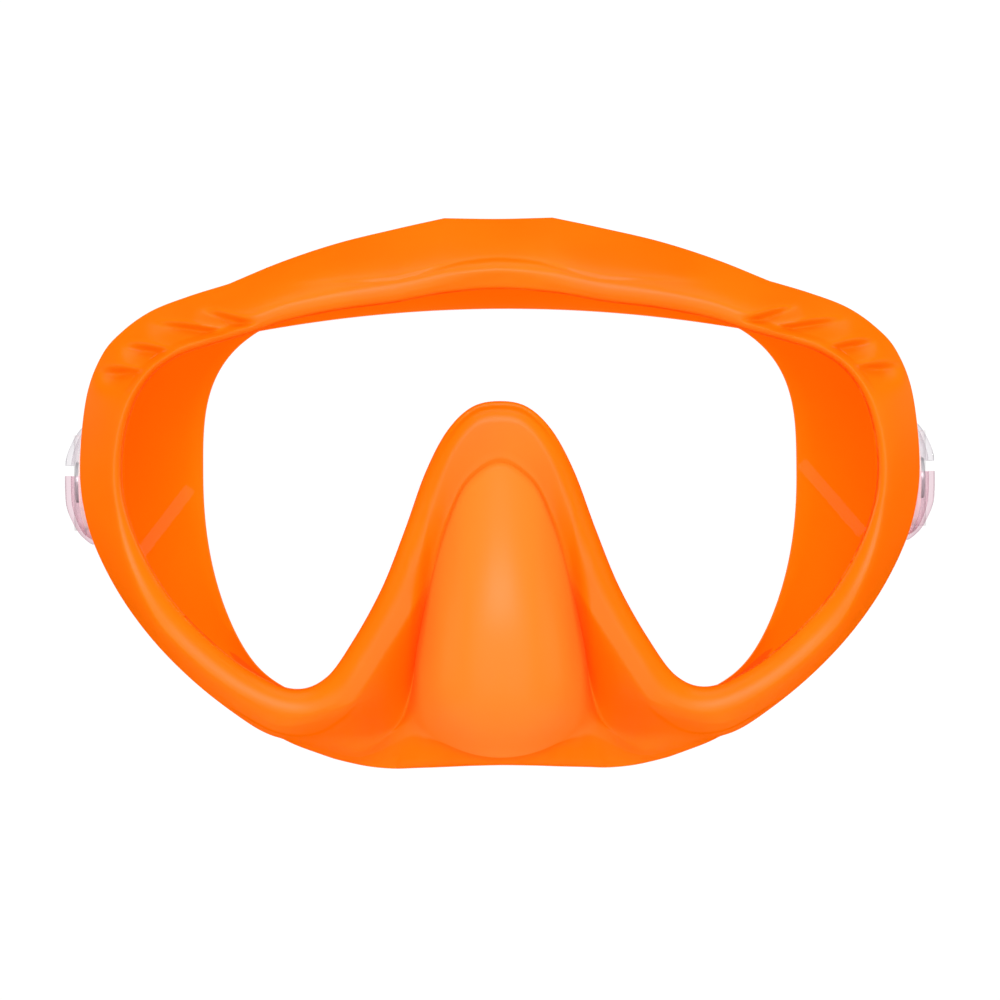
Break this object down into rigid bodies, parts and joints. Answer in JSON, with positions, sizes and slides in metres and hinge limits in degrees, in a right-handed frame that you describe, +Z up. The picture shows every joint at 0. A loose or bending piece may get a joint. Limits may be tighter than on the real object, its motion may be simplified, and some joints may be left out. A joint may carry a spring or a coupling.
{
  "type": "diving mask",
  "caption": "Frameless diving mask: flat glass pane in a moulded silicone skirt with a nose pocket and face seal, and clear swivelling strap buckles at the sides.",
  "frame": {"origin": "middle of the face seal on the plane of symmetry, level with the buckle pivots", "axes": "+X to the right as seen from the front, +Y towards the wearer's face, +Z up; right and left are as seen from the front"},
  "size_m": [0.1788, 0.0719, 0.1122],
  "materials": {
    "silicone_orange": "satin",
    "tempered_glass": "polished",
    "buckle_clear": "gloss",
    "button_clear": "gloss",
    "button_rose": "gloss",
    "stainless": "satin"
  },
  "bodies": {
    "mask": {"skirt": "silicone_orange", "lens": "tempered_glass", "right_anchor": "buckle_clear", "right_pivot_rivet": "stainless", "left_anchor": "buckle_clear", "left_pivot_rivet": "stainless"},
    "right_buckle": {"right_buckle_body": "buckle_clear", "right_roller_pin": "stainless", "right_pawl_pin": "stainless", "right_button_spring": "stainless"},
    "right_upper_button": {"right_upper_button": "button_clear"},
    "right_lower_button": {"right_lower_button": "button_rose"},
    "right_roller": {"right_strap_roller": "buckle_clear"},
    "right_pawl": {"right_strap_pawl": "buckle_clear"},
    "left_buckle": {"left_buckle_body": "buckle_clear", "left_roller_pin": "stainless", "left_pawl_pin": "stainless", "left_button_spring": "stainless"},
    "left_upper_button": {"left_upper_button": "button_clear"},
    "left_lower_button": {"left_lower_button": "button_rose"},
    "left_roller": {"left_strap_roller": "buckle_clear"},
    "left_pawl": {"left_strap_pawl": "buckle_clear"}
  },
  "joints": [
    {"name": "right_swivel", "type": "hinge", "parent": "mask", "child": "right_buckle", "pos_m": [0.0811, -0.014, 0], "axis": [1, 0, 0], "range_deg": [-35, 35]},
    {"name": "right_squeeze", "type": "slide", "parent": "right_buckle", "child": "right_upper_button", "axis": [0, 0, -1], "range_m": [0, 0.0009], "stiffness_N_per_m": 900, "springref_m": -0.002, "deforming": ["right_button_spring"]},
    {"name": "right_squeeze_below", "type": "slide", "parent": "right_buckle", "child": "right_lower_button", "axis": [0, 0, 1], "range_m": [0, 0.0009]},
    {"name": "right_pawl_lift", "type": "hinge", "parent": "right_buckle", "child": "right_pawl", "pos_m": [0.0877, 0.0005, 0], "axis": [0, 0, -1], "range_deg": [0, 12]},
    {"name": "right_roller_turn", "type": "hinge", "parent": "right_buckle", "child": "right_roller", "pos_m": [0.0861, 0.0073, 0], "axis": [0, 0, 1], "continuous": true},
    {"name": "left_swivel", "type": "hinge", "parent": "mask", "child": "left_buckle", "pos_m": [-0.0811, -0.014, 0], "axis": [1, 0, 0], "range_deg": [-35, 35]},
    {"name": "left_squeeze", "type": "slide", "parent": "left_buckle", "child": "left_upper_button", "axis": [0, 0, -1], "range_m": [0, 0.0009], "stiffness_N_per_m": 900, "springref_m": -0.002, "deforming": ["left_button_spring"]},
    {"name": "left_squeeze_below", "type": "slide", "parent": "left_buckle", "child": "left_lower_button", "axis": [0, 0, 1], "range_m": [0, 0.0009]},
    {"name": "left_pawl_lift", "type": "hinge", "parent": "left_buckle", "child": "left_pawl", "pos_m": [-0.0877, 0.0005, 0], "axis": [0, 0, 1], "range_deg": [0, 12]},
    {"name": "left_roller_turn", "type": "hinge", "parent": "left_buckle", "child": "left_roller", "pos_m": [-0.0861, 0.0073, 0], "axis": [0, 0, 1], "continuous": true}
  ],
  "couplings": [
    {"joint": "right_squeeze_below", "follows": "right_squeeze", "ratio": 1},
    {"joint": "right_pawl_lift", "follows": "right_squeeze", "rad_per_m": 228},
    {"joint": "left_squeeze_below", "follows": "left_squeeze", "ratio": 1},
    {"joint": "left_pawl_lift", "follows": "left_squeeze", "rad_per_m": 228}
  ]
}
